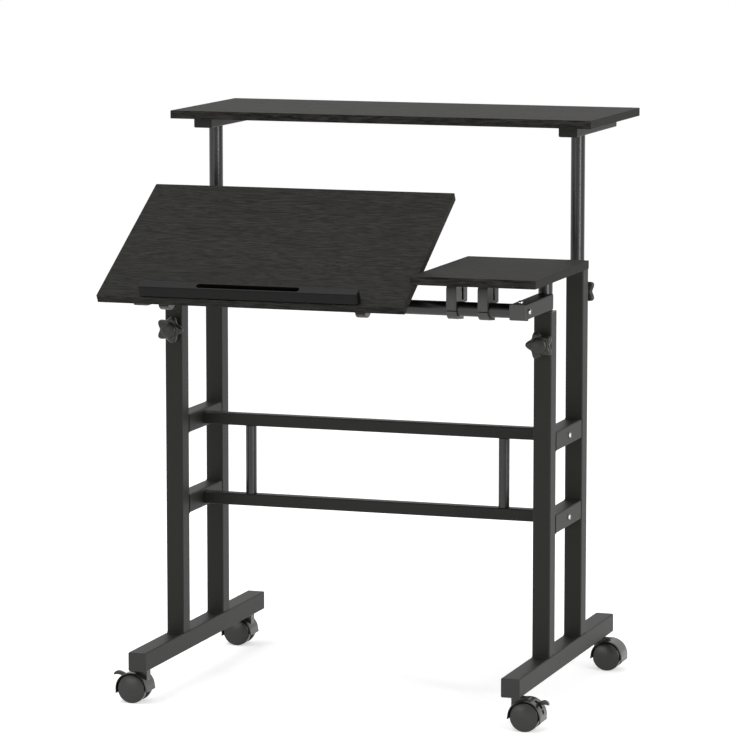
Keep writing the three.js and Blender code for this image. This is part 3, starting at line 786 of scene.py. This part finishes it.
@dataclass
class Castor:
    """A twin-wheel castor round its axle, trailing towards +X before it is turned."""

    side: Side
    end: End
    name: str = field(init=False)
    place: Matrix = field(init=False)
    hood_inner: float = 28.5
    hood_outer: float = 31.1
    hood_half: float = 22.5
    hood_ends: Pair = (-17.0, 188.0)
    hood_steps: int = 48
    hood_edge: Rows = ((-1.5, 0.0), (-0.5, -0.5), (0.0, -1.6))
    lip_angle: float = 7.0
    lip_height: float = 0.9
    web_half: float = 7.4
    web_overlap: float = 1.3
    web_inset: float = 1.0
    web_steps: int = 40
    trail: float = 19.5
    # The stem with its boss, as radius and height
    stem: Rows = ((7.0, 8.0), (7.0, 35.9), (6.4, 36.5), (5.0, 36.5), (5.0, 57.7), (4.2, 58.5))
    neck_half: float = 9.5
    neck_edge: float = 0.8
    neck: Rows = (
        (-26.5, 12.0), (-2.0, 12.0), (6.5, 29.5), (4.0, 31.7), (-9.0, 32.7), (-16.5, 33.5),
        (-26.5, 33.5),
    )
    # The brake's openings: where each starts, its bottom, its top and half its width
    openings: WideRows = ((7.0, 13.5, 26.5, 5.3), (22.0, 4.0, 11.0, 4.5))
    cut_reach: float = 38.1
    # One wheel's radius and distance from the middle: disc, rounded tread and inner recess
    wheel: Rows = (
        (0.0, 24.6), (6.0, 24.4), (11.0, 23.95), (15.0, 23.4), (18.5, 22.8), (21.5, 22.2),
        (23.6, 21.6), (24.9, 21.0), (25.8, 20.1), (26.3, 19.0), (26.5, 17.6), (26.5, 11.0),
        (26.3, 9.4), (25.5, 8.4), (24.3, 8.0), (18.0, 8.0), (17.5, 9.5), (7.5, 9.5),
        (7.0, 8.0), (4.0, 8.0),
    )
    lever_pivot: Pair = (14.0, 20.5)
    lever_corner: float = 1.6
    lever_fullness: float = 2.2  # a corner's radius is at most the thickness over this
    # The lever's reach, height, half width and thickness, from its root to its tip
    lever: WideRows = (
        (-3.5, 0.0, 3.2, 3.6), (2.0, 0.6, 3.6, 4.8), (7.0, 2.0, 4.2, 6.0), (12.0, 3.6, 4.6, 6.8),
        (16.0, 4.5, 5.0, 7.0), (19.5, 4.6, 5.0, 6.8), (22.5, 3.7, 5.0, 6.0), (24.6, 2.5, 4.6, 4.8),
        (25.9, 1.3, 3.6, 2.8),
    )

    def __post_init__(self) -> None:
        """Names the castor as its body, and places it by its axle, turned to its side."""
        self.name = f"{self.side}_{self.end}_castor"
        turn = Matrix.Rotation(pi if self.side is Side.LEFT else 0, 4, "Z")
        self.place = shift(Box(f"{self.name}_wheels").middle) @ turn

    def build(self) -> None:
        """Builds the castor, with a brake lever on the front ones."""
        self.wheels()
        self.housing()
        if self.end is End.FRONT:
            self.paddle()

    def wheels(self) -> None:
        """Makes the twin wheels: wide domed discs and rounded treads round one axle."""
        profile = [*self.wheel, *[(radius, -y) for radius, y in reversed(self.wheel)]]
        shell = Shell()
        shell.loft(turned(profile[::-1], ROUND_STEPS), self.place @ Axis.Y.turn())
        node = f"{self.name}_wheels"
        shell.piece(f"{self.name}_twin_wheels", node, CASTOR_PLASTIC, node)

    def hood(self) -> Shell:
        """Makes the curved hood with a thicker lip at both ends.

        Returns:
            The hood's mesh.
        """
        start, end = self.hood_ends
        loops = []
        for step in range(self.hood_steps + 1):
            bearing = start + (end - start) * step / self.hood_steps
            in_lip = min(bearing - start, end - bearing) < self.lip_angle
            outer = self.hood_outer - (0.0 if in_lip else self.lip_height)
            points = [(outer + dr, self.hood_half + dy) for dr, dy in self.hood_edge]
            points += [(radius, -y) for radius, y in reversed(points)]
            points += [(self.hood_inner, -self.hood_half), (self.hood_inner, self.hood_half)]
            angle = radians(bearing)
            loops.append([Vector((r * cos(angle), r * sin(angle), y)) for r, y in points])
        shell = Shell()
        shell.loft(loops, self.place @ SIDE_VIEW)
        return shell

    def housing(self) -> None:
        """Makes the hood, its raised neck, the web, the boss and the stem."""
        flat = self.place @ SIDE_VIEW
        hood = self.hood()
        web = Shell()
        start, end = self.hood_ends[0] + self.web_inset, self.hood_ends[1] - self.web_inset
        face = arc(self.hood_inner + self.web_overlap, start, end, self.web_steps)
        web.prism(face, -self.web_half, self.web_half, flat)
        for near, low, high, half in self.openings if self.end is End.FRONT else ():
            far = self.cut_reach
            for shell in (hood, web):
                knife = Shell()
                knife.prism([(near, low), (far, low), (far, high), (near, high)], -half, half, flat)
                shell.cut(knife)
        neck = Shell()
        neck.prism(self.neck, -self.neck_half, self.neck_half, flat)
        neck.soften(self.neck_edge)
        upright = self.place @ shift((-self.trail, 0, 0))
        neck.loft(turned(self.stem, SMALL_STEPS), upright)
        for part in (web, neck):
            hood.join(part)
        node = f"{self.name}_housing"
        hood.piece(f"{self.name}_hood", self.name, HOOD_PLASTIC, node)

    def paddle(self) -> None:
        """Makes the brake lever: an arched paddle, wider at its tip."""
        loops = []
        for x, z, half, thick in self.lever:
            corner = min(self.lever_corner, thick / self.lever_fullness)
            outline = rounded(thick, 2 * half, corner, steps=4)
            loops.append([Vector((x, across, z + up)) for up, across in outline])
        node = f"{self.side}_brake_lever"
        shell = Shell()
        x, z = self.lever_pivot
        shell.loft(loops, self.place @ shift((x, 0, z)))
        shell.piece(f"{self.side}_brake_paddle", node, HOOD_PLASTIC, node)


@dataclass
class Knob:
    """A clamping knob with five chunky lobes and a domed cap, round its stud's axis."""

    side: Side
    end: End
    reach: float = 26.0
    valley: float = 18.6
    lobes: int = 5
    lobe_power: float = 0.85
    steps: int = 120
    # The stud and hub, as radius and height over the leg
    hub: Rows = (
        (3.4, -4.4), (4.0, -3.6), (4.0, 0.3), (8.9, 0.3), (9.5, 0.9), (9.5, 10.0), (10.3, 11.6),
        (12.1, 12.6),
    )
    # The lobed grip: how far inside its widest outline, how full its lobes, and how high
    grip: WideRows = (
        (6.0, 0.6, 12.9), (3.0, 0.9, 13.2), (1.3, 0.97, 14.2), (0.4, 1.0, 15.8),
        (0.0, 1.0, 17.8), (0.0, 1.0, 19.6), (0.5, 1.0, 21.6), (1.5, 0.97, 23.1),
        (2.8, 0.86, 24.2), (4.2, 0.6, 24.9), (5.5, 0.3, 25.2),
    )
    # The cap in its groove, as radius and height
    cap: Rows = (
        (15.2, 25.2), (14.7, 25.0), (14.6, 25.4), (14.4, 26.4), (13.7, 27.4), (12.4, 28.3),
        (10.4, 29.1), (7.6, 29.8), (4.1, 30.3), (0.6, 30.5),
    )

    def star(self, inset: float, fullness: float) -> list[Pair]:
        """Draws the lobed outline.

        Args:
            inset: how far inside the widest outline it lies.
            fullness: 1 for full lobes, 0 for a circle.

        Returns:
            The outline's points.
        """
        mean = (self.reach + self.valley) / 2
        points = []
        for step in range(self.steps):
            angle = 2 * pi * step / self.steps
            dip = ((1 - cos(self.lobes * angle)) / 2) ** self.lobe_power
            lobed = self.reach - (self.reach - self.valley) * dip
            radius = mean + fullness * (lobed - mean) - inset
            points.append((radius * cos(angle), radius * sin(angle)))
        return points

    def build(self) -> None:
        """Builds the knob from its stud to its cap's crown, on its leg's face."""
        name = f"{self.side}_{self.end}_knob"
        leg = Box(f"{self.side}_{self.end}_leg")
        axis = joint_place(f"{name}_turn")
        axis.y = leg.low.y if self.end is End.FRONT else leg.high.y
        outward = Matrix.Diagonal((-self.side.sign, self.end.sign, 1, 1))
        grip = [lift(self.star(inset, full), height) for inset, full, height in self.grip]
        loops = [*turned(self.hub, self.steps), *grip, *turned(self.cap, self.steps)]
        shell = Shell()
        shell.loft(loops, shift(axis) @ outward @ Axis.Y.turn())
        shell.piece(f"{name}_grip", name, MOULDED_NYLON, name)


@dataclass
class BoardClamp:
    """A board clamp on the cross tube, drawn in Y and Z round the tube's axis."""

    wall: float
    # The default finish's lighter grey is painted light on the clamps' front faces
    finish: Finish = PAINTED_LIGHT_NYLON
    width: float = 18.5
    bore: float = 13.0
    slit: float = 1.2
    slit_drop: float = 2.2
    front_rise: float = 37.0
    slope: float = 9.0
    block_back: float = 16.0
    notch: float = 10.0
    heel_depth: float = 23.0
    heel_bottom: float = 8.0
    flange: float = 6.5
    top: float = 48.7
    tail_reach: float = 28.0
    tail_drop: float = 21.0
    tail_thickness: float = 5.5
    edge: float = 0.9
    edge_angle: float = 50.0  # the ring's facets meet at less than this and stay

    def outline(self) -> list[Pair]:
        """Draws the clamp's side view: ring, slit, tail, heel, notch and block.

        Returns:
            The outline's points, anticlockwise from the slit's lower lip.
        """
        ring = self.bore + self.wall
        lips = (-self.slit_drop - self.slit / 2, -self.slit_drop + self.slit / 2)
        outer_low = 180 - degrees(asin(lips[0] / ring))
        inner = [180 - degrees(asin(lip / self.bore)) for lip in lips]
        heel = self.block_back + self.notch
        back = heel + self.heel_depth
        heel_angle = degrees(asin(self.heel_bottom / ring))
        floor = self.heel_bottom + self.flange
        tail_top = (self.tail_reach, self.tail_thickness - self.tail_drop)
        seam = (self.bore + self.wall / 2) * sqrt(0.5)
        crossings = intersect_line_sphere_2d(tail_top, (seam, -seam), (0, 0), ring)
        crotch = next(point for point in crossings if point)
        crotch_angle = degrees(atan2(crotch.y, crotch.x))
        return [
            *arc(ring, outer_low, 270, steps=14),
            (self.tail_reach, -self.tail_drop), tail_top,
            *arc(ring, crotch_angle, heel_angle, steps=12),
            (back, self.heel_bottom), (back, self.top),
            (heel, self.top), (heel, floor),
            (self.block_back, floor), (self.block_back, self.top),
            (self.slope - ring, self.top), (-ring, self.front_rise), (-ring, 0.0),
            (-sqrt(ring**2 - lips[1] ** 2), lips[1]),
            *arc(self.bore, inner[1], inner[0] - 360, steps=48),
        ]

    def build(self, node: str, body: Body, tilt: Matrix) -> None:
        """Builds one clamp.

        Args:
            node: the CAD node's name.
            body: the body it rides on.
            tilt: the turn of the board that it holds.
        """
        half = self.width / 2
        shell = Shell()
        shell.prism(self.outline(), -half, half, on_hinge(node, tilt) @ Axis.X.turn())
        shell.soften(self.edge, self.edge_angle)
        shell.piece(f"{node}_moulding", body, self.finish, node)


@dataclass(frozen=True)
class Screw:
    """A small upright screw, as radius and height from its lower end."""

    profile: Rows
    finish: Finish = CHROME_PLATE

    def build(self, name: str, body: Body, place: Pair, height: float) -> None:
        """Sets the screw upright.

        Args:
            name: the piece's name.
            body: the body it rides on.
            place: its place in X and Y.
            height: the height that its profile is measured from.
        """
        shell = Shell()
        shell.loft(turned(self.profile, SMALL_STEPS), shift((*place, height)))
        shell.piece(name, body, self.finish)


@dataclass
class FrontTable(Assembly):
    """The posts, arms, cross tube and side board, which slide up together."""

    end_plate: float = 2.4
    end_plate_edge: float = 0.8
    cope_gap: float = 0.3
    clamp_wall: float = 5.2
    screw_setback: float = 19.5
    screw_sink: float = 1.0
    set_screw_inset: float = 5.2
    screw: Screw = Screw((
        (2.6, -4.0), (2.6, 1.0), (4.3, 1.0), (4.6, 1.5), (4.6, 3.4), (4.1, 4.9), (2.9, 6.0),
        (1.0, 6.4),
    ))
    set_screw: Screw = Screw(((3.36, -2.4), (4.2, -1.8), (4.2, 4.0)), BLACK_STEEL)

    def build(self) -> None:
        """Builds the front table and the clamps of its side board."""
        for side in Side:
            self.round(f"{side}_front_post", Axis.Z)
            self.arm(side)
            Bolt(f"{side}_arm_bolt", self.body, side).build()
        self.round("table_tube", Axis.X)
        self.flat_board("side_board")
        clamp = BoardClamp(self.clamp_wall)
        for where in ("inner", "outer"):
            clamp.build(f"side_board_{where}_clamp", self.body, Matrix.Identity(4))

    def arm(self, side: Side) -> None:
        """Makes a table arm, coped round its post, with its front end's plate and two screws.

        Args:
            side: the desk's side.
        """
        node = f"{side}_table_arm"
        box = Box(node)
        width, depth, height = box.size
        middle = box.middle
        outline = rounded(width, height, self.corner)
        place = Axis.Y.at(Vector((middle.x, box.low.y, middle.z)))
        shell = Shell()
        shell.prism(outline, self.end_plate, depth, place)
        post = Box(f"{side}_front_post")
        cope = circle(post.size.x / 2 + self.cope_gap)
        round_post = shift((post.middle.x, post.middle.y, middle.z))
        knife = Shell()
        knife.prism(cope, -height, height, round_post)
        shell.cut(knife)
        shell.soften(self.rim)
        shell.piece(f"{node}_tube", self.body, POWDER_COAT, node)
        plate = Shell()
        plate.prism(outline, 0, self.end_plate, place)
        plate.soften(self.end_plate_edge)
        # The end plate's lighter grey is painted light on the arm's front face
        plate.piece(f"{side}_arm_end_plate", self.body, PAINTED_LIGHT_NYLON)
        front = (middle.x, box.low.y + self.screw_setback)
        self.screw.build(f"{side}_arm_screw", self.body, front, box.high.z - self.screw_sink)
        face = box.low.x if side is Side.LEFT else box.high.x
        under = (face - side.sign * self.set_screw_inset, Box(f"{side}_arm_bolt").middle.y)
        self.set_screw.build(f"{side}_arm_set_screw", self.body, under, box.low.z)


@dataclass
class TiltingTop(Assembly):
    """The tilting board with its clamps and its ledge."""

    overhang: float = 86.5
    rise: float = 49.0
    thickness: float = 15.0
    depth: float = 340.0
    clamp_wall: float = 9.5
    ledge_depth: float = 20.0
    ledge_corner: float = 7.0
    ledge_setback: float = 1.0
    ledge_gap: float = 0.3
    slot: Pair = (190.0, 11.0)
    slot_corner: float = 5.45
    corner_steps: int = 8
    # How far each row of the ledge lies outside its outline or its slot, and how high
    outside: Rows = (
        (-1.6, 0.0), (-1.3, 0.6), (-0.4, 1.2), (0.0, 1.9), (0.0, 19.8), (-0.3, 20.7),
        (-0.9, 21.5), (-1.9, 22.0),
    )
    inside: Rows = ((1.0, 22.0), (0.3, 21.6), (0.0, 20.9), (0.0, 0.0))

    def build(self) -> None:
        """Builds the board, its grain laid in its own plane, the ledge and the clamps."""
        angle = -radians(joint(HINGE)["range_deg"][0])
        tilt = Matrix.Rotation(angle, 4, "X")
        node = "tilting_board"
        size = Vector((Box(node).size.x, self.depth, self.thickness))
        centre = Vector((0, self.depth / 2 - self.overhang, self.rise + self.thickness / 2))
        middle = on_hinge(node, tilt) @ shift(centre)
        finish = replace(LAMINATE, name=f"{LAMINATE.name}_tilted", tilt=angle)
        self.board(node, size, middle, finish)
        self.ledge(on_hinge("ledge", tilt))
        clamp = BoardClamp(self.clamp_wall, MOULDED_NYLON)
        for side in Side:
            clamp.build(f"tilting_board_{side}_clamp", self.body, tilt)

    def ledge(self, place: Matrix) -> None:
        """Makes the ledge: a rounded bar with a long slot through it.

        Args:
            place: the tilted frame at the ledge's middle.
        """
        whole = (Box("ledge").size.x, self.ledge_depth)
        loops = []
        for (length, width), corner, rows in (
            (whole, self.ledge_corner, self.outside),
            (self.slot, self.slot_corner, self.inside),
        ):
            outline = rounded(length, width, corner, self.corner_steps)
            for out, height in rows:
                along, across = 1 + 2 * out / length, 1 + 2 * out / width
                loops.append(lift([(x * along, y * across) for x, y in outline], height))
        front = self.ledge_setback + self.ledge_depth / 2 - self.overhang
        base = shift((0, front, self.rise + self.thickness + self.ledge_gap))
        shell = Shell()
        shell.loft(loops, place @ base, ring=True)
        shell.piece("ledge_bar", self.body, MATT_ABS, "ledge")


@dataclass
class RearShelf(Assembly):
    """The shelf with its posts and arms, which slide together."""

    screw_inset: float = 30.0
    screw: Screw = Screw((
        (1.0, -2.6), (2.8, -2.4), (4.3, -1.6), (4.6, -0.6), (4.6, 0.1), (2.4, 0.1), (2.4, 16.0),
    ))

    def build(self) -> None:
        """Builds the posts, arms, board and the screws under it."""
        for side in Side:
            self.round(f"{side}_rear_post", Axis.Z)
            self.rectangular(f"{side}_shelf_arm", Axis.Y)
            arm = Box(f"{side}_shelf_arm")
            ends = (arm.low.y + self.screw_inset, arm.high.y - self.screw_inset)
            for number, y in enumerate(ends, 1):
                name = f"{side}_shelf_screw_{number}"
                self.screw.build(name, self.body, (arm.middle.x, y), arm.low.z)
        self.flat_board("shelf_board")


@dataclass(frozen=True)
class Lamp:
    """A soft rectangular lamp that faces the desk, in metres and watts."""

    name: str
    place: tuple[float, float, float]
    width: float
    height: float
    power: float
    aim_height: float = 0.5

    def build(self) -> None:
        """Hangs the lamp."""
        data = bpy.data.lights.new(self.name, "AREA")
        data.shape = "RECTANGLE"
        data.size = self.width
        data.size_y = self.height
        data.energy = self.power
        made = add_object(self.name, data)
        made.location = self.place
        aim = Vector((0, 0, self.aim_height)) - made.location
        made.rotation_euler = aim.to_track_quat("-Z", "Y").to_euler()


@dataclass
class Studio:
    """The floor, the light and the camera, in metres."""

    lamps: tuple[Lamp, ...] = (
        Lamp("key_strip", (4.0, -2.3, 1.4), 0.85, 2.7, power=105.0, aim_height=1.4),
        Lamp("top_softbox", (-0.8, -0.9, 4.4), 3.4, 3.4, power=100.0),
        Lamp("left_fill", (-4.6, -3.4, 2.2), 3.0, 3.0, power=20.0),
        Lamp("front_strip", (-2.1, -5.2, 0.62), 2.2, 0.8, power=13.0, aim_height=0.3),
    )
    floor_size: float = 80.0
    floor_colours: tuple[str, str] = ("#f2f2f2", "#f6f6f6")
    speck_mm: float = 4.0
    floor_glow: float = 0.5
    surroundings: float = 0.55
    camera_place: tuple[float, float, float] = (2.3473, -7.0338, 1.603)
    camera_turn: float = 18.535
    camera_pitch: float = 7.781
    camera_reach: float = 200.0
    focal_px: float = 4122.3
    frame_px: float = 736.0
    sensor_mm: float = 36.0

    def build(self) -> None:
        """Builds the whole studio."""
        self.floor()
        self.world()
        for lamp in self.lamps:
            lamp.build()
        self.camera()
        bpy.context.scene.view_settings.view_transform = "Standard"

    def floor(self) -> None:
        """Lays a pale floor that keeps the desk's shadow and blends into the background."""
        half = self.floor_size / 2
        data = bpy.data.meshes.new("studio_floor")
        corners = [(-half, -half, 0), (half, -half, 0), (half, half, 0), (-half, half, 0)]
        data.from_pydata(corners, [], [(0, 1, 2, 3)])
        made = bpy.data.materials.new("pale_floor")
        tree = empty_tree(made)
        fine = {"Scale": per_metre(self.speck_mm), "Detail": 2.0}
        speck = add_node(tree, "TexNoise", fine).outputs["Fac"]
        low, high = (linear(colour) for colour in self.floor_colours)
        pair = {"data_type": "RGBA", COLOUR_A: low, COLOUR_B: high}
        tone = add_node(tree, "Mix", pair, {SHARE: speck})
        matt = add_node(tree, "BsdfDiffuse", links={"Color": tone.outputs[COLOUR_OUT]})
        strength = {"Strength": self.seen(tree, self.floor_glow)}
        glow = add_node(tree, "Emission", {"Color": WHITE}, strength)
        both = add_node(tree, "AddShader", links={0: matt.outputs[0], 1: glow.outputs[0]})
        add_node(tree, "OutputMaterial", links={"Surface": both.outputs[0]})
        data.materials.append(made)
        add_object("studio_floor", data)

    def seen(self, tree: Tree, strength: float, otherwise: float = 0.0) -> Socket:
        """Gives one strength to what is seen, straight or in a mirror, and another to the rest.

        Args:
            tree: the material's or world's node tree.
            strength: the strength for camera, glossy and transmission rays.
            otherwise: the strength for every other ray.

        Returns:
            The socket that carries the strength.
        """
        path = add_node(tree, "LightPath").outputs
        ray = path["Is Camera Ray"]
        for kind in ("Is Glossy Ray", "Is Transmission Ray"):
            either = {"operation": "MAXIMUM"}
            ray = add_node(tree, "Math", either, {0: ray, 1: path[kind]}).outputs[0]
        levels = {"To Min": otherwise, "To Max": strength}
        return add_node(tree, "MapRange", levels, {"Value": ray}).outputs[0]

    def world(self) -> None:
        """Lights the desk evenly from a white background."""
        world = bpy.data.worlds.new("studio_world")
        tree = empty_tree(world)
        strength = {"Strength": self.seen(tree, 1.0, self.surroundings)}
        sky = add_node(tree, "Background", {"Color": WHITE}, strength)
        add_node(tree, "OutputWorld", links={"Surface": sky.outputs[0]})
        bpy.context.scene.world = world

    def camera(self) -> None:
        """Sets the camera at the photographed viewing angle."""
        data = bpy.data.cameras.new("photo_camera")
        data.sensor_width = self.sensor_mm
        data.lens = self.focal_px / self.frame_px * self.sensor_mm
        data.clip_end = self.camera_reach
        made = add_object("photo_camera", data)
        made.location = self.camera_place
        turn = (90 - self.camera_pitch, 0, self.camera_turn)
        made.rotation_euler = [radians(angle) for angle in turn]
        bpy.context.scene.camera = made


def main() -> None:
    """Builds the desk and its studio in order."""
    logging.basicConfig(level=logging.INFO, format="%(name)s: %(message)s")
    Studio().build()
    SideFrames(Body.FRAME).build()
    for side in Side:
        for end in End:
            Castor(side, end).build()
            Knob(side, end).build()
    FrontTable(Body.TABLE).build()
    TiltingTop(Body.TOP).build()
    RearShelf(Body.SHELF).build()


if __name__ == "__main__":
    main()
